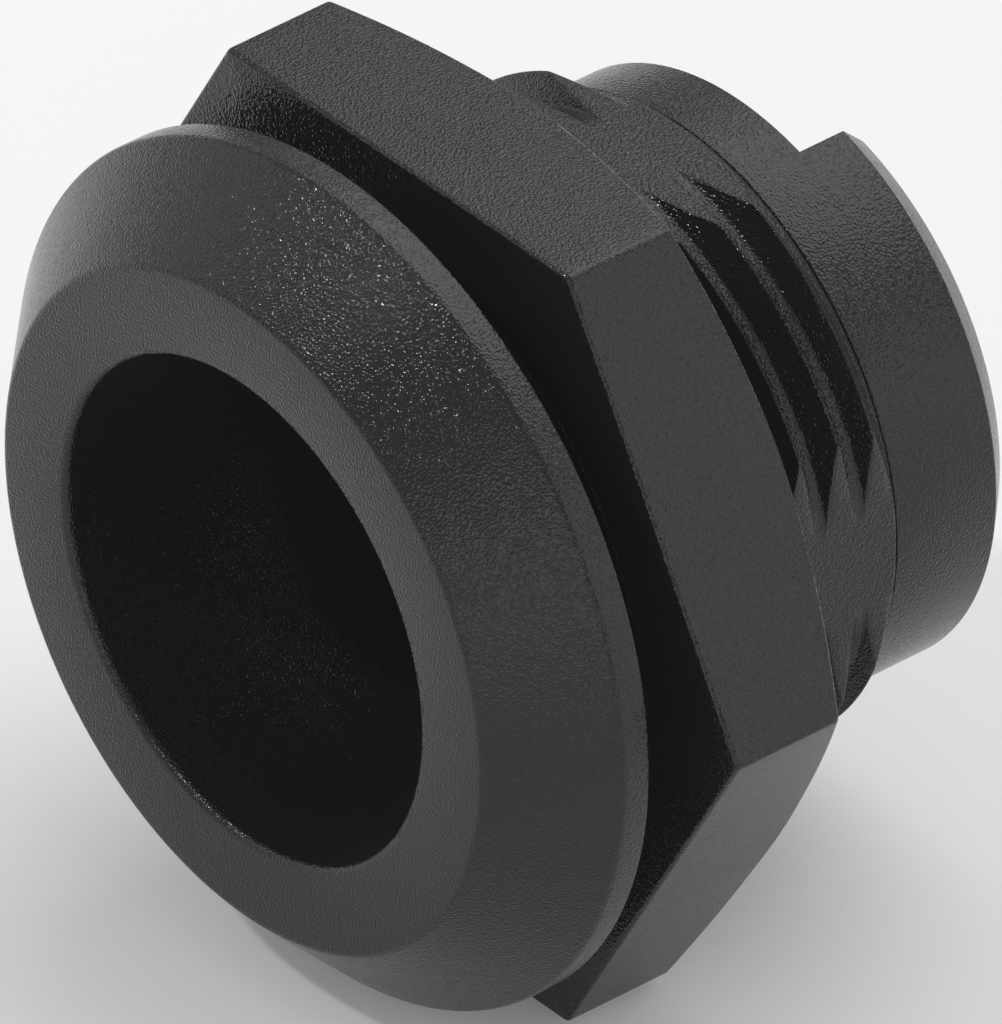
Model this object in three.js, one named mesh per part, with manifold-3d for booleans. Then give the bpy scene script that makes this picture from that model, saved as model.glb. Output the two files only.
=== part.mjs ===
// Panel-mount cable gland, in millimetres, +Z up. The axis of the gland is Y: the head looks
// towards -Y and the cable leaves towards +Y. The origin is on the axis, in the plane of the
// head's rear face, which lies on the panel. Angles are counted from +X towards +Z, and stations
// are distances along Y from that plane.
import * as THREE from 'three';
import { mergeVertices } from 'three/addons/utils/BufferGeometryUtils.js';
import Module from 'manifold-3d';

// ---- head and cable way ----
const headHeight = 4;
const headBevel = 3;
const rimHeight = 1;
const seatWidth = 1.2;
const boreStep = 0.45;

// ---- outer thread, M22 x 1.5, with four flats ----
const threadRadius = 11;
const threadPitch = 1.5;
const threadDepth = 0.9;
const threadCrest = 0.05;
const threadRoot = 0.42;
const crestAngle = 45;
const crestStation = 10.655;
const shankLength = 13;
const flatDepth = 0.15;
const footStep = 0.02;

// ---- locknut, one panel's room behind the head ----
const panelRoom = 2.04;
const nutWall = 2.5;
const nutThickness = 5;
const nutChamferAngle = 27;
const threadClearance = 0.15;

// ---- panel gasket, flush in a groove of the head's rear face ----
const gasketThickness = 0.8;
const gasketWidth = 1;
const gasketBoreClearance = 0.5;

// ---- rear collar ----
const collarStep = 0.05;
const collarLength = 5;
const collarChamfer = 1.05;
const collarCutback = 2.75;
const cutbackStart = 73.3;
const cutbackSpan = 180;
const collarSeam = 0.08;
const shellEdge = 0.72;
const lipWidth = 1;
const lipThickness = 1.3;
const spigotLength = 3;
const spigotWall = 1;

// ---- inner thread between shank and collar ----
const innerPitch = 1.5;
const innerDepth = 0.5;
const innerWidth = 0.5;
const innerClearance = 0.2;
const shankWall = 0.85;

// ---- clamp and seal inside the shank ----
const partGap = 0.3;
const stopLipThickness = 0.8;
const stopLipWidth = 1.8;
const spigotRoom = 0.78;
const sealFlangeThickness = 0.8;
const sealTipWall = 0.89;
const sealGap = 0.25;
const cageRingThickness = 0.8;
const fingerCount = 12;
const fingerSlot = 0.9634;
const fingerThickness = 0.85;
const fingerClearance = 0.5;
const fingerTilt = 14;
const slipRingLength = 1.6;
const slipRingGap = 0.25;

// ---- fineness of the turned and helical faces ----
const roundSteps = 48;
const helixSteps = 24;

// ---- radii that follow from the values above, from the outside in ----
const gasketInner = threadRadius + gasketBoreClearance;
const gasketOuter = gasketInner + gasketWidth;
const gasketGrooveInner = gasketInner - partGap;
const gasketGrooveOuter = gasketOuter + partGap;
const headRadius = gasketGrooveOuter + seatWidth;
const headFaceRadius = headRadius - headBevel;
const nutAcrossFlats = 2 * (threadRadius + nutWall);
const rootRadius = threadRadius - threadDepth;
const flatDistance = rootRadius - flatDepth;
const shankFoot = flatDistance + footStep;
const collarRadius = shankFoot - collarStep;
const shellRadius = collarRadius - collarChamfer - shellEdge;
const grooveRadius = flatDistance - shankWall;
const spigotCrest = grooveRadius - innerClearance;
const spigotRoot = spigotCrest - innerDepth;
const pocketRadius = spigotRoot + innerClearance;
const boreRadius = pocketRadius - boreStep;
const stopLipRadius = pocketRadius - stopLipWidth;
const insertRadius = pocketRadius - partGap;
const collarInner = spigotRoot - spigotWall;
const mouthRadius = collarInner - lipWidth;
const slipOuter = collarInner - partGap;
const fingerOuter = collarInner - fingerClearance;
const fingerInner = fingerOuter - fingerThickness;
const fingerSpan = 360 / fingerCount - THREE.MathUtils.radToDeg(fingerSlot / fingerOuter);

// ---- stations that follow, from the collar forwards and then back through the clamp ----
const nutRear = panelRoom + nutThickness;
const collarFront = shankLength + collarSeam;
const collarRear = shankLength + collarLength;
const shellFront = collarRear - collarCutback;
const lipFront = shellFront - lipThickness;
const slipRear = lipFront - partGap;
const slipFront = slipRear - slipRingLength;
const fingerRear = lipFront - partGap;
const spigotFront = collarFront - spigotLength;
const cageRear = spigotFront - spigotRoom;
const cageFront = cageRear - cageRingThickness;
const fingerFront = cageRear + partGap;
const sealFront = cageFront - partGap - sealFlangeThickness;
const pocketFront = sealFront - partGap;
const stopLipStation = pocketFront - stopLipThickness;

// The clamp narrows from the fingers' roots to their tips.
const tiltSlope = Math.tan(THREE.MathUtils.degToRad(fingerTilt));
const taper = (station) => (station - fingerFront) * tiltSlope;
const sealNeck = fingerInner - sealGap;
const sealTip = sealNeck - taper(fingerRear);
const sealBoreRadius = sealTip - sealTipWall;

const wasm = await Module();
wasm.setup();

// A closed three.js geometry as a solid for joins and cuts.
function solid(geometry) {
  geometry.deleteAttribute('normal');
  geometry.deleteAttribute('uv');
  const merged = mergeVertices(geometry, 1e-5);
  return new wasm.Manifold(new wasm.Mesh({
    numProp: 3,
    vertProperties: new Float32Array(merged.attributes.position.array),
    triVerts: new Uint32Array(merged.index.array),
  }));
}

// A solid as a three.js geometry again.
function geometryOf(body) {
  const mesh = body.getMesh();
  const geometry = new THREE.BufferGeometry();
  geometry.setAttribute('position', new THREE.BufferAttribute(mesh.vertProperties, 3));
  geometry.setIndex(new THREE.BufferAttribute(mesh.triVerts, 1));
  geometry.computeVertexNormals();
  return geometry;
}

// Turns an outline of [radius, station] pairs about Y. It runs with the radius to the right and
// the station up, counter-clockwise, and starts and ends on the axis.
function bar(outline, steps = roundSteps) {
  return new THREE.LatheGeometry(outline.map(([r, y]) => new THREE.Vector2(r, y)), steps);
}

// The same for a ring, whose outline closes on itself away from the axis.
function ring(outline, steps = roundSteps) {
  return bar([...outline, outline[0]], steps);
}

// The bar that fills a ring's or a shank's inside between two stations.
function plug(radius, front, rear) {
  return solid(bar([[0, front], [radius, front], [radius, rear], [0, rear]]));
}

// The section of a thread ridge: a trapezium on a core, whose foot reaches a little into it.
function ridge(root, crest, rootWidth, crestWidth) {
  const sink = 0.3;
  return [
    [root - sink, -rootWidth / 2],
    [root, -rootWidth / 2],
    [crest, -crestWidth / 2],
    [crest, crestWidth / 2],
    [root, rootWidth / 2],
    [root - sink, rootWidth / 2],
  ];
}

// Sweeps a section of [radius, station] pairs along a right-handed helix about Y. One of its
// turns passes crestAngle at crestStation, and it runs past both given stations.
function helix(section, pitch, front, rear) {
  const firstTurn = Math.floor((front - crestStation) / pitch) - 1;
  const lastTurn = Math.ceil((rear - crestStation) / pitch) + 1;
  const count = (lastTurn - firstTurn) * helixSteps;
  const size = section.length;
  const positions = [];
  const index = [];
  for (let i = 0; i <= count; i += 1) {
    const turn = firstTurn + i / helixSteps;
    const angle = THREE.MathUtils.degToRad(crestAngle) - turn * 2 * Math.PI;
    for (const [r, y] of section) {
      positions.push(r * Math.cos(angle), crestStation + turn * pitch + y, r * Math.sin(angle));
    }
  }
  for (let i = 0; i < count; i += 1) {
    for (let j = 0; j < size; j += 1) {
      const a = i * size + j;
      const b = i * size + (j + 1) % size;
      index.push(a, a + size, b);
      index.push(b, a + size, b + size);
    }
  }
  const last = count * size;
  for (let j = 1; j < size - 1; j += 1) {
    index.push(0, j, j + 1);
    index.push(last, last + j + 1, last + j);
  }
  const geometry = new THREE.BufferGeometry();
  geometry.setAttribute('position', new THREE.Float32BufferAttribute(positions, 3));
  geometry.setIndex(index);
  return solid(geometry);
}

// A flat shape in X and Z, pulled out along Y between two stations.
function pulled(shape, front, rear) {
  const geometry = new THREE.ExtrudeGeometry(shape, {
    depth: rear - front, bevelEnabled: false, curveSegments: roundSteps / 2,
  });
  geometry.rotateX(Math.PI / 2);
  geometry.translate(0, rear, 0);
  return geometry;
}

// A slice of a round bar between two angles.
function slice(radius, front, rear, start, span) {
  const from = THREE.MathUtils.degToRad(start);
  const to = THREE.MathUtils.degToRad(start + span);
  const shape = new THREE.Shape();
  shape.moveTo(0, 0);
  shape.lineTo(radius * Math.cos(from), radius * Math.sin(from));
  shape.absarc(0, 0, radius, from, to, false);
  shape.lineTo(0, 0);
  return solid(pulled(shape, front, rear));
}

// The ridge of the shank's inner thread and the collar's outer one.
function innerRidge(root, crest, slack, front, rear) {
  const foot = innerWidth + 2 * slack + 2 * (crest - root) / Math.tan(Math.PI / 3);
  return helix(ridge(root, crest, foot, innerWidth + 2 * slack), innerPitch, front, rear)
    .intersect(plug(threadRadius, front, rear));
}

// Head and threaded shank, moulded in one, with the cable way and the pocket for the clamp.
function glandBody() {
  const head = solid(bar([
    [0, -headHeight],
    [headFaceRadius, -headHeight],
    [headRadius, -rimHeight],
    [headRadius, 0],
    [0, 0],
  ]));
  const chamfer = threadRadius - shankFoot;
  const envelope = solid(bar([
    [0, -rimHeight],
    [threadRadius + 1, -rimHeight],
    [threadRadius + 1, shankLength - chamfer - 1],
    [shankFoot, shankLength],
    [0, shankLength],
  ]));
  const ridges = helix(
    ridge(rootRadius, threadRadius, threadPitch - threadRoot, threadCrest),
    threadPitch,
    0,
    shankLength,
  );
  let shank = plug(rootRadius, -rimHeight, shankLength).add(ridges).intersect(envelope);
  const slab = 4 * threadRadius;
  for (let i = 0; i < 4; i += 1) {
    const cutter = new THREE.BoxGeometry(slab, shankLength + 1, slab);
    cutter.translate(flatDistance + slab / 2, (shankLength + 1) / 2, 0);
    cutter.rotateY(i * Math.PI / 2);
    shank = shank.subtract(solid(cutter));
  }
  const cableWay = solid(bar([
    [0, -headHeight - 1],
    [boreRadius, -headHeight - 1],
    [boreRadius, stopLipStation],
    [stopLipRadius, stopLipStation],
    [stopLipRadius, pocketFront],
    [pocketRadius, pocketFront],
    [pocketRadius, shankLength + 1],
    [0, shankLength + 1],
  ]));
  const spigotThread = innerRidge(pocketRadius, grooveRadius, innerClearance,
    spigotFront - partGap, shankLength + 1);
  const gasketGroove = solid(ring([
    [gasketGrooveInner, -gasketThickness],
    [gasketGrooveOuter, -gasketThickness],
    [gasketGrooveOuter, 1],
    [gasketGrooveInner, 1],
  ]));
  return head.subtract(gasketGroove).add(shank).subtract(cableWay).subtract(spigotThread);
}

// Hexagon with a real thread. Its rear corners are turned off, its front ones are sharp.
function locknut() {
  const corner = nutAcrossFlats / Math.sqrt(3);
  const half = nutAcrossFlats / 2;
  const hexagon = new THREE.Shape();
  for (let i = 0; i < 6; i += 1) {
    const angle = i * Math.PI / 3;
    hexagon[i === 0 ? 'moveTo' : 'lineTo'](corner * Math.cos(angle), corner * Math.sin(angle));
  }
  const reach = 2 * (corner - half);
  const drop = reach * Math.tan(THREE.MathUtils.degToRad(nutChamferAngle));
  const envelope = solid(bar([
    [0, panelRoom - 1],
    [half + reach, panelRoom - 1],
    [half + reach, nutRear - drop],
    [half, nutRear],
    [0, nutRear],
  ], 2 * roundSteps));
  const minor = rootRadius + threadClearance;
  const major = threadRadius + threadClearance;
  const lead = major - minor;
  const hole = solid(bar([
    [0, panelRoom - 1],
    [major + 1, panelRoom - 1],
    [minor, panelRoom + lead],
    [minor, nutRear - lead],
    [major + 1, nutRear + 1],
    [0, nutRear + 1],
  ]));
  const groove = helix(
    ridge(minor, major, threadPitch - threadRoot + 2 * threadClearance,
      threadCrest + 2 * threadClearance),
    threadPitch,
    panelRoom,
    nutRear,
  );
  return solid(pulled(hexagon, panelRoom, nutRear)).intersect(envelope).subtract(hole)
    .subtract(groove);
}

// The collar screws into the shank by its spigot. Its lip drives the slip ring, and its rear
// edge is cut back over part of the round.
function rearCollar() {
  const sleeve = solid(ring([
    [collarInner, spigotFront],
    [spigotRoot, spigotFront],
    [spigotRoot, collarFront],
    [collarRadius, collarFront],
    [collarRadius, collarRear - collarChamfer],
    [collarRadius - collarChamfer, collarRear],
    [shellRadius, collarRear],
    [shellRadius, shellFront],
    [mouthRadius, shellFront],
    [mouthRadius, lipFront],
    [collarInner, lipFront],
  ]));
  const ridges = innerRidge(spigotRoot, spigotCrest, 0, spigotFront, collarFront);
  const cutback = slice(2 * collarRadius, shellFront, collarRear + 1, cutbackStart, cutbackSpan);
  return sleeve.add(ridges).subtract(cutback);
}

// Elastomer sleeve with a flange that is held between the stop lip and the cage ring.
function sealSleeve() {
  return ring([
    [sealBoreRadius, sealFront],
    [insertRadius, sealFront],
    [insertRadius, sealFront + sealFlangeThickness],
    [sealNeck, sealFront + sealFlangeThickness],
    [sealNeck, fingerFront],
    [sealTip, fingerRear],
    [sealBoreRadius, fingerRear],
  ]);
}

function cageRing() {
  return ring([
    [fingerInner, cageFront],
    [insertRadius, cageFront],
    [insertRadius, cageRear],
    [fingerInner, cageRear],
  ]);
}

// The slip ring takes the collar's push and not its turn. Its bore is a cone on the fingers.
function slipRing() {
  const cone = (station) => fingerOuter - taper(station) + slipRingGap;
  return ring([
    [cone(slipFront), slipFront],
    [slipOuter, slipFront],
    [slipOuter, slipRear],
    [cone(slipRear), slipRear],
  ]);
}

function panelGasket() {
  return ring([
    [gasketInner, -gasketThickness],
    [gasketOuter, -gasketThickness],
    [gasketOuter, 0],
    [gasketInner, 0],
  ]);
}

// One clamp finger: a slice of a tapering ring.
function clampFinger(angle) {
  const taperingRing = solid(ring([
    [fingerInner, fingerFront],
    [fingerOuter, fingerFront],
    [fingerOuter - taper(fingerRear), fingerRear],
    [fingerInner - taper(fingerRear), fingerRear],
  ], 2 * roundSteps));
  const room = slice(2 * fingerOuter, fingerFront - 1, fingerRear + 1, angle - fingerSpan / 2,
    fingerSpan);
  return taperingRing.intersect(room);
}

const part = new THREE.Group();

function addPart(name, geometry, color, roughness) {
  const material = new THREE.MeshStandardMaterial({ color, roughness, metalness: 0 });
  const mesh = new THREE.Mesh(geometry, material);
  mesh.name = name;
  part.add(mesh);
}

const plasticBlack = 0x2a2a2c;
const nutBlack = 0x2e2e30;
const rubberBlack = 0x161618;
const insertGrey = 0x3c3d40;

addPart('gland_body', geometryOf(glandBody()), plasticBlack, 0.55);
addPart('locknut', geometryOf(locknut()), nutBlack, 0.5);
addPart('panel_gasket', panelGasket(), rubberBlack, 0.85);
addPart('rear_collar', geometryOf(rearCollar()), plasticBlack, 0.55);
addPart('slip_ring', slipRing(), insertGrey, 0.4);
addPart('seal_sleeve', sealSleeve(), rubberBlack, 0.85);
addPart('cage_ring', cageRing(), insertGrey, 0.4);
for (let i = 0; i < fingerCount; i += 1) {
  const name = `clamp_finger_${String(i + 1).padStart(2, '0')}`;
  addPart(name, geometryOf(clampFinger(i * 360 / fingerCount)), insertGrey, 0.4);
}

export default part;
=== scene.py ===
from math import cos, pi, radians, sin, tan
import bmesh
import bpy
import numpy as np
from mathutils import Matrix, Vector


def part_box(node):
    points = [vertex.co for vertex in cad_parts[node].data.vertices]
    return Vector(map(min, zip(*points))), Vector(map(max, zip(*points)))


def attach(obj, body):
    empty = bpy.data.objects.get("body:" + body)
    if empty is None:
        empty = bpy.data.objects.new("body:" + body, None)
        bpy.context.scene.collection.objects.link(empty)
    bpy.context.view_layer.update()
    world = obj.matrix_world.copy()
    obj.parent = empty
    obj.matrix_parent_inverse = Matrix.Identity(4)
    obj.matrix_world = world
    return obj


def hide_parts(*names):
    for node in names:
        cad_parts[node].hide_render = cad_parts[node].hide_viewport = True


# Panel-mount cable gland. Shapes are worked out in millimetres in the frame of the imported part:
# the axis is Y, the head looks towards -Y, and angles count from +X towards +Z.
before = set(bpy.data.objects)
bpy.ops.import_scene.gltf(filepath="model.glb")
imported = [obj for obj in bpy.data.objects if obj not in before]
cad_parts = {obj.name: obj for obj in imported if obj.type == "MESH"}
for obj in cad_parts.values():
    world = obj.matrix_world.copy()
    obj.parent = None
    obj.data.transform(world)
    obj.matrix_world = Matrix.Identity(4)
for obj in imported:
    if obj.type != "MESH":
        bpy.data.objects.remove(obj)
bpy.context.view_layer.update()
mm = 0.001


def extent(node):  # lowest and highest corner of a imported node, in millimetres
    low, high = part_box(node)
    return np.array(low) / mm, np.array(high) / mm


bodyLow, bodyHigh = extent("gland_body")
nutLow, nutHigh = extent("locknut")
gasketLow, gasketHigh = extent("panel_gasket")
collarLow, collarHigh = extent("rear_collar")
slipLow, slipHigh = extent("slip_ring")
sealLow, sealHigh = extent("seal_sleeve")
cageLow, cageHigh = extent("cage_ring")
fingerLow, fingerHigh = extent("clamp_finger_01")
print("frame loaded,", len(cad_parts), "nodes")

view = {
    "azimuth": 49.846,  # degrees round the part from straight in front of the head
    "elevation": 35.162,
    "lens": 1500.0,  # a long lens, close to a parallel view
    "sensor": 36.0,
    "height": 30.36,  # millimetres that the view takes in at the part
    "right": 4.635,  # millimetres from the origin to the middle of the view, to the right
    "up": 1.491,
    "clip": (0.05, 20.0),  # metres
}


# Stands off along the line of sight by lens times height over sensor, so that the view takes in
# that height.
def addCamera():
    az, el = radians(view["azimuth"]), radians(view["elevation"])
    right = Vector((cos(az), sin(az), 0))
    up = Vector((-sin(az) * sin(el), cos(az) * sin(el), cos(el)))
    back = right.cross(up)
    distance = view["lens"] * view["height"] / view["sensor"]
    stand = right * view["right"] + up * view["up"] + back * distance
    data = bpy.data.cameras.new("camera")
    data.lens = view["lens"]
    data.sensor_width = view["sensor"]
    data.clip_start, data.clip_end = view["clip"]
    camera = bpy.data.objects.new("camera", data)
    bpy.context.scene.collection.objects.link(camera)
    turn = Matrix((right, up, back)).transposed().to_4x4()
    camera.matrix_world = Matrix.Translation(stand * mm) @ turn
    bpy.context.scene.camera = camera


addCamera()

thread = {
    "radius": 11.0,
    "pitch": 1.5,
    "depth": 0.9,
    "crest": 0.05,
    "root": 0.42,
    "crestAngle": 45.0,  # a crest passes this angle at this station
    "crestStation": 10.655,
    "crestSoft": 0.05,
    "rootSoft": 0.12,
    "edgeSoft": 0.05,
    "columns": 240,
    "crestRow": 0.04,  # how far from a crest or foot the rows beside it stand
    "footRow": 0.05,
    "capRow": 0.03,
    "coneRow": 0.02,
    "edgeColumn": 0.5,  # degrees between the edge of a flat and the columns beside it
}
skin = {
    "cornerSteps": 4,
    "cornerShare": 0.45,  # a rounding takes no more of a side than this
    "mergeWithin": 2e-7,  # metres
    "dropUnder": 1e-7,
    "sharpAngle": 38.0,
    "ringColumns": 192,
}
tiny = 1e-9


# The lower of two values, with the corner between them rounded: where they lie closer than soft,
# a quarter of the square of what is left of soft, over soft, is taken off.
def softMin(a, b, soft):
    gap = np.maximum(soft - np.abs(a - b), 0)
    return np.minimum(a, b) - gap * gap / (4 * soft)


def softMax(a, b, soft):  # the higher of two values, rounded in the same way
    return -softMin(-a, -b, soft)


# Angles from 0 to 360 degrees inclusive, in even steps, with some more slipped in where an edge
# needs one.
def columnsWith(count, extra=()):
    even = np.linspace(0, 360, count + 1)
    more = np.array([angle % 360 for angle in extra])
    return np.unique(np.round(np.concatenate([even, more]), 6))


# A closed outline for every column of angles. A corner is a radius, a station and a size of
# rounding: each is a number or an array over the columns. A rounded corner is the quadratic curve
# that touches both of its sides. Rows that are ready made, such as a thread's, come as a pair of
# arrays.
def loopOf(columns, corners):
    wide = np.ones_like(columns)
    points, soft = [], []
    for corner in corners:
        if len(corner) == 2:
            for r, y in zip(*corner):
                points.append(np.stack([r, y], -1))
                soft.append(0.0)
        else:
            points.append(np.stack([corner[0] * wide, corner[1] * wide], -1))
            soft.append(corner[2])
    points = np.array(points)
    rows = []
    for i, size in enumerate(soft):
        here, before, after = points[i], points[i - 1], points[(i + 1) % len(soft)]
        if size == 0:
            rows.append(here)
            continue
        toBefore, toAfter = before - here, after - here
        lengthBefore = np.maximum(np.linalg.norm(toBefore, axis=-1, keepdims=True), tiny)
        lengthAfter = np.maximum(np.linalg.norm(toAfter, axis=-1, keepdims=True), tiny)
        start = here + toBefore * np.minimum(size / lengthBefore, skin["cornerShare"])
        end = here + toAfter * np.minimum(size / lengthAfter, skin["cornerShare"])
        for t in np.linspace(0, 1, skin["cornerSteps"] + 1):
            rows.append((1 - t) ** 2 * start + 2 * t * (1 - t) * here + t * t * end)
    return np.array(rows)


# A closed mesh from points in millimetres and lists of corners, one for each face, with
# coincident points sewn together.
def meshFrom(name, points, faces):
    mesh = bpy.data.meshes.new(name)
    mesh.from_pydata((points * mm).tolist(), [], faces)
    work = bmesh.new()
    work.from_mesh(mesh)
    bmesh.ops.remove_doubles(work, verts=work.verts, dist=skin["mergeWithin"])
    bmesh.ops.dissolve_degenerate(work, edges=work.edges, dist=skin["dropUnder"])
    bmesh.ops.recalc_face_normals(work, faces=work.faces)
    work.to_mesh(mesh)
    work.free()
    mesh.polygons.foreach_set("use_smooth", np.ones(len(mesh.polygons), bool))
    mesh.set_sharp_from_angle(angle=radians(skin["sharpAngle"]))
    piece = bpy.data.objects.new(name, mesh)
    bpy.context.scene.collection.objects.link(piece)
    print(f"{name}: {len(mesh.polygons)} faces")
    return piece


# Quads between neighbours on a grid of rows by columns, whose last row joins its first.
def gridFaces(rows, columns):
    i = np.arange(rows)[:, None]
    j = np.arange(columns - 1)[None, :]
    nextRow = (i + 1) % rows
    quads = [i * columns + j, nextRow * columns + j, nextRow * columns + j + 1, i * columns + j + 1]
    return np.stack(np.broadcast_arrays(*quads), -1).reshape(-1, 4).tolist()


# Points of an outline carried round the Y axis: radius times cosine, station, radius times sine.
def carried(columns, outline):
    angle = np.radians(columns)[None, :]
    r, y = outline[..., 0], outline[..., 1]
    return np.stack([r * np.cos(angle), y, r * np.sin(angle)], -1).reshape(-1, 3)


# A closed outline of radius and station, turned all the way round the Y axis.
def turned(name, columns, outline):
    return meshFrom(name, carried(columns, outline), gridFaces(len(outline), len(columns)))


# Row offsets for a thread, the same in every turn: its middle, and each size to both sides of it.
def evenRows(sizes):
    return lambda middle: [side * size for side in (-1, 1) for size in sizes] + [0.0]


# Radius and station of a helical ridge or groove, row by row. Within each turn the rows stand at
# the given offsets from the ridge's middle, which moves forward by one pitch as the angle goes
# once round. The radius runs from root to crest along a straight flank between half the foot and
# half the crest width, its corners rounded. Offsets may be arrays over turns and columns. A
# limit, a function of station and radius, gives the radius that is left where a thread is cut.
def threadRows(columns, front, rear, foot, crest, radii, softs, offsets, limit=None):
    root, top = radii
    pitch = thread["pitch"]
    first = int(np.floor((front - thread["crestStation"]) / pitch)) - 1
    last = int(np.ceil((rear - thread["crestStation"]) / pitch)) + 2
    turn = np.arange(first, last + 1)[:, None]
    middle = thread["crestStation"] + pitch * (turn + (thread["crestAngle"] - columns[None, :]) / 360)
    away = np.stack([np.broadcast_to(offset, middle.shape) for offset in offsets(middle)])
    away = np.sort(np.clip(away, -pitch / 2, pitch / 2), axis=0)
    station = np.clip(middle[None] + away, front, rear)
    station = station.transpose(1, 0, 2).reshape(-1, len(columns))
    phase = (station - thread["crestStation"]) / pitch - (thread["crestAngle"] - columns[None, :]) / 360
    delta = np.abs(phase - np.round(phase)) * pitch
    slope = (top - root) / (foot / 2 - crest / 2)
    flank = root + slope * (foot / 2 - delta)
    crestSoft, rootSoft = softs
    radius = softMax(root, softMin(top, flank, crestSoft), rootSoft)
    return radius if limit is None else limit(station, radius), station


body = {
    "bevel": 3.0,
    "rim": 1.0,
    "bore": 8.15,
    "mouthSoft": 0.3,
    "faceSoft": 0.14,
    "flatDistance": 9.95,
    "foot": 9.97,  # radius of the shank's end face
    "pocket": 8.6,  # radius behind the stop lip
    "pocketFront": 7.1,
    "lipRadius": 6.8,
    "lipThickness": 0.8,
    "grooveStart": 9.78,
    "grooveRadius": 9.1,
    "grooveCrest": 0.9,
    "grooveFoot": 1.477,
    "grooveSoft": 0.05,
    "gasketGap": 0.3,
    "gasketSoft": 0.06,
    "inside": 0.1,  # rounding of the hidden edges
}


def flatReach(columns):  # distance from the axis to the nearest flat, along each angle
    toFlat = np.abs((columns + 45) % 90 - 45)
    return body["flatDistance"] / np.cos(np.radians(toFlat))


# Ring-shaped skin: head, gasket groove, shank with thread and flats, end, threaded pocket, stop
# lip and bore. The thread's radius is capped by the flats and by the cone of the end chamfer.
def makeBody():
    root = thread["radius"] - thread["depth"]
    edges = [np.degrees(np.arccos(body["flatDistance"] / r)) for r in (root, thread["radius"])]
    beside = (-thread["edgeColumn"], 0, thread["edgeColumn"])
    extra = [90 * i + side * edge + nudge
             for i in range(4) for side in (-1, 1) for edge in edges for nudge in beside]
    columns = columnsWith(thread["columns"], extra)
    reach = flatReach(columns)
    rear, foot = bodyHigh[1], body["foot"]
    halfCrest, halfFoot = thread["crest"] / 2, (thread["pitch"] - thread["root"]) / 2
    slope = thread["depth"] / (halfFoot - halfCrest)
    soft = thread["edgeSoft"]

    def limit(station, radius):
        capped = softMin(radius, reach[None, :], soft)
        return softMin(capped, foot + rear - station, soft)

    def offsets(middle):
        capAt = np.clip(halfFoot - (reach - root) / slope, halfCrest, halfFoot)[None, :]
        coneFront = (foot + rear - root - slope * halfFoot - middle) / (1 + slope)
        coneRear = (root + slope * halfFoot - foot - rear + middle) / (slope - 1)
        coneFlat = foot + rear - np.minimum(reach, thread["radius"])[None, :] - middle
        rows = [0, thread["pitch"] / 2, -thread["pitch"] / 2]
        capRow, coneRow = thread["capRow"], thread["coneRow"]
        for side in (-1, 1):
            rows += [side * halfCrest, side * (halfCrest + thread["crestRow"])]
            rows += [side * (halfFoot - thread["footRow"]), side * halfFoot]
            rows += [side * (halfFoot + thread["crestRow"])]
            rows += [side * (capAt + step) for step in (-capRow, 0, capRow)]
        for edge in (coneFront, -coneRear, coneFlat):
            rows += [np.clip(edge, -halfFoot, halfFoot) + step for step in (-coneRow, coneRow)]
        return rows

    shank = threadRows(columns, 0.0, rear, 2 * halfFoot, 2 * halfCrest, (root, thread["radius"]),
                       (thread["crestSoft"], thread["rootSoft"]), offsets, limit)
    groove = (body["grooveFoot"], body["grooveCrest"])
    pocket = threadRows(columns, body["grooveStart"], rear, *groove,
                        (body["pocket"], body["grooveRadius"]), (body["grooveSoft"],) * 2,
                        evenRows([width / 2 for width in groove]))
    headRadius, front = bodyHigh[0], bodyLow[1]
    face, gap, gasketSoft = headRadius - body["bevel"], body["gasketGap"], body["gasketSoft"]
    corners = [
        (body["bore"], front, body["mouthSoft"]),
        (face, front, body["faceSoft"]),
        (headRadius, -body["rim"], body["faceSoft"]),
        (headRadius, 0, body["inside"]),
        (gasketHigh[0] + gap, 0, gasketSoft),
        (gasketHigh[0] + gap, gasketLow[1], gasketSoft),
        (gasketInner() - gap, gasketLow[1], gasketSoft),
        (gasketInner() - gap, 0, gasketSoft),
        shank,
        (pocket[0][::-1], pocket[1][::-1]),
        (body["pocket"], body["grooveStart"], 0),
        (body["pocket"], body["pocketFront"], body["inside"]),
        (body["lipRadius"], body["pocketFront"], body["inside"]),
        (body["lipRadius"], body["pocketFront"] - body["lipThickness"], body["inside"]),
        (body["bore"], body["pocketFront"] - body["lipThickness"], body["inside"]),
    ]
    return turned("glandBody", columns, loopOf(columns, corners))


gasket = {"width": 1.0, "soft": 0.1}


def gasketInner():
    return gasketHigh[0] - gasket["width"]


# Four corners of a ring's section, from its inner and outer radius in front and behind.
def section(front, rear, low, high, soft):
    return [(front[0], low, soft), (front[1], low, soft), (rear[1], high, soft), (rear[0], high, soft)]


# A turned ring whose corners are the same all the way round.
def simpleRing(name, corners):
    columns = columnsWith(skin["ringColumns"])
    return turned(name, columns, loopOf(columns, corners))


# Flat ring with its four edges rounded.
def makeGasket():
    radii = (gasketInner(), gasketHigh[0])
    return simpleRing("panelGasket", section(radii, radii, gasketLow[1], gasketHigh[1], gasket["soft"]))


nut = {
    "chamferAngle": 27.0,
    "edge": 0.16,  # rounding of the front edge
    "corner": 0.22,  # radius of the six upright edges
    "arc": 0.12,  # rounding where the rear cone meets the flats
    "rearStep": 0.02,  # how far the edge of the rear face lies inside the flats
    "minor": 10.25,
    "major": 11.15,
    "grooveFoot": 1.38,
    "grooveCrest": 0.35,
    "grooveSoft": 0.05,
    "grooveRows": (0.69, 0.6, 0.175, 0.4),
    "flatSteps": 30,
    "cornerSteps": 6,
}


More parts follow.
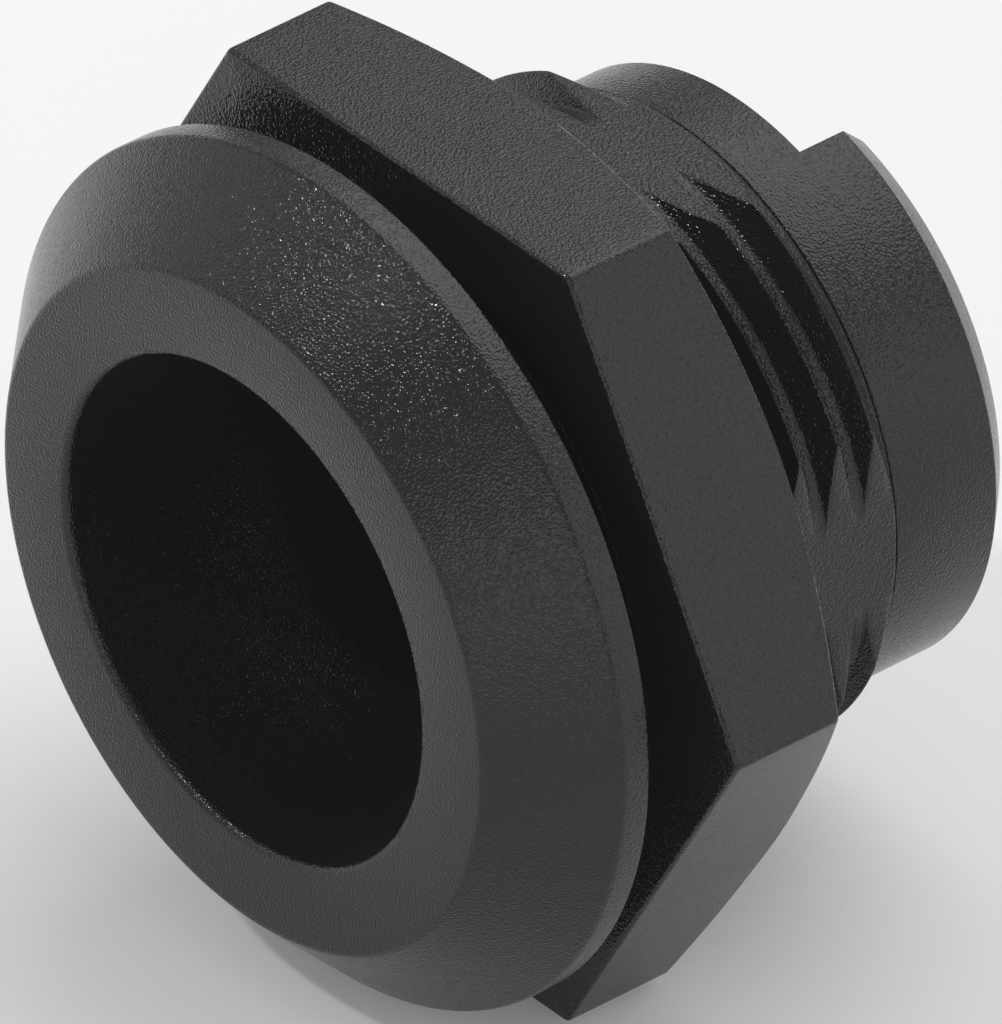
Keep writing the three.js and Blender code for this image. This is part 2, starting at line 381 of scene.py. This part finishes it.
# Radius and angle of a hexagon with round corners, one sector of 60 degrees repeated: straight
# along the flat, then an arc about a centre that lies inside the corner by the corner radius over
# the cosine of 30 degrees.
def nutOutline():
    half, size = nutHigh[2], nut["corner"]
    centre = (half - size) / cos(radians(30))
    edge = centre * sin(radians(30))
    along = np.linspace(-edge, edge, nut["flatSteps"] + 1)[:-1]
    turnAngle = np.radians(np.linspace(0, 60, nut["cornerSteps"] + 1))[:-1]
    x = np.concatenate([np.full_like(along, half), half - size + size * np.cos(turnAngle)])
    z = np.concatenate([along, edge + size * np.sin(turnAngle)])
    radius, angle = np.hypot(x, z), np.degrees(np.arctan2(z, x))
    radii = np.concatenate([radius] * 6 + [radius[:1]])
    angles = np.concatenate([30 + 60 * i + angle for i in range(6)] + [390 + angle[:1]])
    return angles, radii


# Ring-shaped skin: flat front, six sides, rear cone, flat rear and threaded hole. Along each
# angle the side ends where the cone, which falls by the tangent of its angle, meets it.
def makeNut():
    columns, side = nutOutline()
    half, front, rear = nutHigh[2], nutLow[1], nutHigh[1]
    slope = tan(radians(nut["chamferAngle"]))
    inner = half - nut["rearStep"]
    meets = rear - (side - inner) * slope
    major, soft = nut["major"], nut["grooveSoft"]

    def limit(station, radius):
        cone = np.maximum(major - (station - front), major - (rear - station))
        return softMax(radius, cone, soft)

    hole = threadRows(columns, front, rear, nut["grooveFoot"], nut["grooveCrest"],
                      (nut["minor"], major), (soft, soft), evenRows(nut["grooveRows"]), limit)
    corners = [
        (major, front, 0),
        (side, front, nut["edge"]),
        (side, meets, nut["arc"]),
        (inner, rear, nut["arc"]),
        (major, rear, 0),
        (hole[0][::-1], hole[1][::-1]),
    ]
    return turned("locknut", columns, loopOf(columns, corners))


collar = {
    "chamfer": 1.05,
    "soft": 0.06,
    "cutStart": 73.3,  # degrees
    "cutSpan": 180.0,
    "cutback": 2.75,  # how much earlier the tube ends there
    "shell": 8.15,
    "mouth": 6.4,
    "lip": 1.3,
    "inner": 7.4,
    "spigotRoot": 8.4,
    "spigotCrest": 8.9,
    "spigotLength": 3.0,
    "ridgeFoot": 1.077,
    "ridgeCrest": 0.5,
    "ridgeRows": (0.56, 0.52, 0.29, 0.22),
    "spigotSoft": 0.08,
    "lipSoft": 0.1,
    "innerSoft": 0.05,
    "columns": 240,
}


# Ring-shaped skin: threaded spigot, tube with a chamfered end, and the inner lip. Between the two
# angles of the cut-back the tube ends early, and two columns at the same angle make each wall of
# the cut.
def makeCollar():
    start, stop = collar["cutStart"], collar["cutStart"] + collar["cutSpan"]
    columns = columnsWith(collar["columns"], (start, stop))
    repeat = np.where(np.isclose(columns, start) | np.isclose(columns, stop), 2, 1)
    columns = np.repeat(columns, repeat)
    cut = (columns > start) & (columns < stop)
    doubled = np.flatnonzero(np.diff(columns) == 0)
    cut[doubled[0]], cut[doubled[0] + 1] = False, True
    cut[doubled[1]], cut[doubled[1] + 1] = True, False
    front, rear, outer = collarLow[1] + collar["spigotLength"], collarHigh[1], collarHigh[0]
    shelf = rear - collar["cutback"]
    bevel, shell, soft = collar["chamfer"], collar["shell"], collar["soft"]
    root, crest = collar["spigotRoot"], collar["spigotCrest"]
    spigot = threadRows(columns, collarLow[1], front, collar["ridgeFoot"], collar["ridgeCrest"],
                        (root, crest), (soft, soft), evenRows(collar["ridgeRows"]))
    lip = shelf - collar["lip"]
    corners = [
        (collar["inner"], collarLow[1], collar["spigotSoft"]),
        spigot,
        (outer, front, soft),
        (outer, shelf, 0),
        (outer, np.where(cut, shelf, rear - bevel), soft),
        (np.where(cut, outer, outer - bevel), np.where(cut, shelf, rear), soft),
        (shell, np.where(cut, shelf, rear), soft),
        (shell, shelf, 0),
        (collar["mouth"], shelf, collar["lipSoft"]),
        (collar["mouth"], lip, collar["lipSoft"]),
        (collar["inner"], lip, collar["innerSoft"]),
    ]
    return turned("rearCollar", columns, loopOf(columns, corners))


clamp = {
    "tilt": 14.0,  # degrees that the fingers lean in
    "inner": 6.05,  # radii of a finger at its root
    "outer": 6.9,
    "soft": 0.08,
}
seal = {
    "bore": 3.9,
    "neck": 5.8,
    "flange": 0.8,
    "waves": 5,
    "waveDepth": 0.12,
    "waveEnd": 0.3,  # how far from either end the waves stop
    "waveRows": 61,
    "mouth": 0.25,  # how much wider the bore is at its ends
    "mouthSoft": 0.15,
    "soft": 0.12,
    "rootSoft": 0.1,
}
slip = {"gap": 0.25}  # from the fingers, along the radius
finger = {
    "count": 12,
    "span": 22.0,  # degrees
    "columns": 8,
    "margin": 2.0,  # degrees between the ends and those columns
    "endColumns": (0, 0.15, 0.4, 0.8),  # degrees from an end
    "endSlant": (1.0, 0.81, 0.5, 0.0),
    "endShrink": 0.1,
}


def taper(station):  # how far the clamp has closed at a station behind the fingers' roots
    return (station - fingerLow[1]) * tan(radians(clamp["tilt"]))


# Flanged sleeve whose bore is ribbed: its radius rises and falls as a cosine of the station.
def makeSeal():
    front, rear, soft = sealLow[1], sealHigh[1], seal["soft"]
    back, mouth = front + seal["flange"], seal["bore"] + seal["mouth"]
    neck, tip = seal["neck"], seal["neck"] - taper(rear)
    stations = np.linspace(rear - seal["waveEnd"], front + seal["waveEnd"], seal["waveRows"])
    share = (stations - stations[0]) / (stations[-1] - stations[0])
    wave = (1 - np.cos(2 * pi * seal["waves"] * share)) / 2
    bore = [(seal["bore"] + seal["waveDepth"] * rise, y, 0) for rise, y in zip(wave, stations)]
    corners = [
        (mouth, front, seal["mouthSoft"]),
        (sealHigh[0], front, soft),
        (sealHigh[0], back, soft),
        (neck, back, soft),
        (neck, fingerLow[1], seal["rootSoft"]),
        (tip, rear, soft),
        (mouth, rear, soft),
    ]
    return simpleRing("sealSleeve", corners + bore)


# Flat ring that holds the seal's flange, with rounded edges.
def makeCage():
    radii = (clamp["inner"], cageHigh[0])
    return simpleRing("cageRing", section(radii, radii, cageLow[1], cageHigh[1], clamp["soft"]))


# Ring whose bore is a cone that lies on the fingers: their outer radius less the taper, and a gap.
def makeSlip():
    low, high, outer = slipLow[1], slipHigh[1], slipHigh[0]
    front, rear = [clamp["outer"] - taper(y) + slip["gap"] for y in (low, high)]
    return simpleRing("slipRing", section((front, outer), (rear, outer), low, high, clamp["soft"]))


# Slice of a tapering ring, one of a circle of them. Towards both ends of the slice its section
# shrinks about its middle as a quarter circle falls, which rounds them.
def makeFinger(number):
    middle, half = number * 360 / finger["count"], finger["span"] / 2
    inner, outer, closed = clamp["inner"], clamp["outer"], taper(fingerHigh[1])
    ends, reach = np.array(finger["endColumns"]), half - finger["margin"]
    between = np.linspace(-reach, reach, finger["columns"])
    columns = middle + np.concatenate([-half + ends, between, half - ends[::-1]])
    fall = np.sqrt(1 - np.array(finger["endSlant"]) ** 2)
    fall = np.concatenate([fall, np.ones(len(between)), fall[::-1]])
    shrink = 1 - finger["endShrink"] * (1 - fall)
    outline = loopOf(columns, section((inner, outer), (inner - closed, outer - closed),
                                      fingerLow[1], fingerHigh[1], clamp["soft"]))
    centre = outline.mean(axis=0, keepdims=True)
    outline = centre + (outline - centre) * shrink[None, :, None]
    rows = np.arange(len(outline)) * len(columns)
    faces = gridFaces(len(outline), len(columns))
    faces += [rows.tolist(), (rows + len(columns) - 1)[::-1].tolist()]
    return meshFrom(f"clampFinger{number + 1:02d}", carried(columns, outline), faces)


# A new material, its shader and its Object coordinates. The last value makes a node and sets the
# named properties or sockets on it.
def nodeTree(name):
    material = bpy.data.materials.new(name)
    material.use_nodes = True
    tree = material.node_tree
    shader = tree.nodes["Principled BSDF"]
    coords = tree.nodes.new("ShaderNodeTexCoord").outputs["Object"]

    def add(kind, **values):
        node = tree.nodes.new(kind)
        for key, value in values.items():
            if hasattr(node, key):
                setattr(node, key, value)
            else:
                node.inputs[key].default_value = value
        return node

    return material, tree, shader, coords, add


# Black polyamide off a textured mould: a satin skin over a dark core. Fine noise is its grain, as
# bump, and slower noise lets the core's tone and the skin's gloss drift a little.
def grainedPlastic(name, finish):
    material, tree, shader, coords, add = nodeTree(name)
    link = tree.links.new
    grain = add("ShaderNodeTexNoise", Scale=finish["grainScale"], Detail=finish["grainDetail"])
    drift = add("ShaderNodeTexNoise", Scale=finish["driftScale"], Detail=finish["driftDetail"])
    for texture in (grain, drift):
        link(coords, texture.inputs["Vector"])
    colour = add("ShaderNodeMix", data_type="RGBA")
    link(drift.outputs["Fac"], colour.inputs[0])
    colour.inputs[6].default_value = (*finish["dark"], 1)
    colour.inputs[7].default_value = (*finish["pale"], 1)
    link(colour.outputs[2], shader.inputs["Base Color"])
    gloss = add("ShaderNodeMapRange")
    gloss.inputs["From Min"].default_value = finish["driftLow"]
    gloss.inputs["From Max"].default_value = finish["driftHigh"]
    gloss.inputs["To Min"].default_value = finish["roughness"] - finish["roughnessDrift"]
    gloss.inputs["To Max"].default_value = finish["roughness"] + finish["roughnessDrift"]
    link(drift.outputs["Fac"], gloss.inputs["Value"])
    link(gloss.outputs["Result"], shader.inputs["Roughness"])
    bump = add("ShaderNodeBump", Strength=1.0, Distance=finish["bumpDepth"])
    link(grain.outputs["Fac"], bump.inputs["Height"])
    link(bump.outputs["Normal"], shader.inputs["Normal"])
    shader.inputs["Specular IOR Level"].default_value = finish["specular"]
    # Painted light: a faint even emission in a pale bluish tone, standing in for light that lifts the
    # hollows and shaded sides.
    shader.inputs["Emission Color"].default_value = (*finish["paintedGlowTone"], 1)
    shader.inputs["Emission Strength"].default_value = finish["paintedGlow"]
    return material


plasticFinish = {
    "dark": (0.0062, 0.0061, 0.0066),
    "pale": (0.0096, 0.0094, 0.0098),
    "grainScale": 12500.0,  # noise cells in a metre
    "grainDetail": 0.0,
    "driftScale": 300.0,
    "driftDetail": 2.0,
    "driftLow": 0.3,  # noise values at which the skin is most and least glossy
    "driftHigh": 0.7,
    "roughness": 0.16,
    "roughnessDrift": 0.02,
    "bumpDepth": 0.000032,  # metres
    "specular": 0.36,
    "paintedGlow": 0.0055,  # painted light: an even glow that stands in for the light reaching the hollows
    # tone of the painted glow
    "paintedGlowTone": (0.95, 0.95, 1.0),
}
nutFinish = dict(plasticFinish, bumpDepth=0.000026)
insertFinish = dict(
    plasticFinish,
    dark=(0.025, 0.026, 0.028),
    pale=(0.035, 0.036, 0.039),
    bumpDepth=0.00002,
)
rubberFinish = dict(
    plasticFinish,
    dark=(0.006, 0.006, 0.0065),
    pale=(0.01, 0.01, 0.0105),
    roughness=0.6,
    specular=0.3,
    bumpDepth=0.00002,
)

bodyPlastic = grainedPlastic("bodyPlastic", plasticFinish)
nutPlastic = grainedPlastic("nutPlastic", nutFinish)
insertPlastic = grainedPlastic("insertPlastic", insertFinish)
sealRubber = grainedPlastic("sealRubber", rubberFinish)


# Gives a piece its material, sets it on the empty of what it rides on, and hides the imported node that
# it replaces.
def place(piece, node, rideOn, material):
    piece.data.materials.append(material)
    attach(piece, rideOn)
    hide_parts(node)


place(makeBody(), "gland_body", "gland", bodyPlastic)
place(makeNut(), "locknut", "nut", nutPlastic)
place(makeGasket(), "panel_gasket", "panel_side", sealRubber)
place(makeCollar(), "rear_collar", "collar", bodyPlastic)
place(makeSlip(), "slip_ring", "slip", insertPlastic)
place(makeSeal(), "seal_sleeve", "gland", sealRubber)
place(makeCage(), "cage_ring", "gland", insertPlastic)
for number in range(finger["count"]):
    nodeName = f"clamp_finger_{number + 1:02d}"
    place(makeFinger(number), nodeName, nodeName, insertPlastic)
print("pieces placed")

studio = {
    "floorSize": 3.0,  # metres
    "floorTone": 0.7,
    "floorRoughness": 0.9,
    "floorGlow": 0.1,
    "sky": 0.45,
}
lamps = {  # place, width and height in metres, and how bright the panel looks
    "leftPanel": ((-0.76, -0.42, 0.42), 0.8, 0.7, 0.6),
    "topPanel": ((-0.1, 0.52, 0.84), 1.2, 0.9, 2.0),
    "rightPanel": ((0.85, 0.45, 0.26), 1.0, 0.75, 0.95),
    "frontPanel": ((0.62, -0.78, 0.12), 0.8, 0.6, 1.4),
    "spotLamp": ((-0.235, -0.5, 0.737), 0.05, 0.05, 240.0),
}


# A flat panel that faces the part. Its power is pi times its area times how bright it looks.
def addLamp(name, stand, width, height, glow):
    data = bpy.data.lights.new(name, "AREA")
    data.shape = "RECTANGLE"
    data.size, data.size_y = width, height
    data.energy = pi * width * height * glow
    lamp = bpy.data.objects.new(name, data)
    bpy.context.scene.collection.objects.link(lamp)
    lamp.location = stand
    lamp.rotation_euler = Vector(stand).to_track_quat("Z", "Y").to_euler()


# Pale floor under the part, a soft even sky, and the lamps.
def addStudio():
    scene = bpy.context.scene
    size, height = studio["floorSize"] / 2, bodyLow[2] * mm
    corners = [(x * size, y * size, height) for x, y in ((-1, -1), (1, -1), (1, 1), (-1, 1))]
    mesh = bpy.data.meshes.new("floor")
    mesh.from_pydata(corners, [], [(0, 1, 2, 3)])
    floor = bpy.data.objects.new("floor", mesh)
    scene.collection.objects.link(floor)
    material, _, shader, _, _ = nodeTree("floorPaint")
    shader.inputs["Base Color"].default_value = (*[studio["floorTone"]] * 3, 1)
    shader.inputs["Emission Color"].default_value = (1, 1, 1, 1)
    shader.inputs["Emission Strength"].default_value = studio["floorGlow"]
    shader.inputs["Roughness"].default_value = studio["floorRoughness"]
    mesh.materials.append(material)
    world = bpy.data.worlds.new("sky")
    world.use_nodes = True
    world.node_tree.nodes["Background"].inputs["Color"].default_value = (1, 1, 1, 1)
    world.node_tree.nodes["Background"].inputs["Strength"].default_value = studio["sky"]
    scene.world = world
    for name, values in lamps.items():
        addLamp(name, *values)
    scene.view_settings.view_transform = "Standard"
    scene.view_settings.look = "None"


addStudio()
print("studio set")
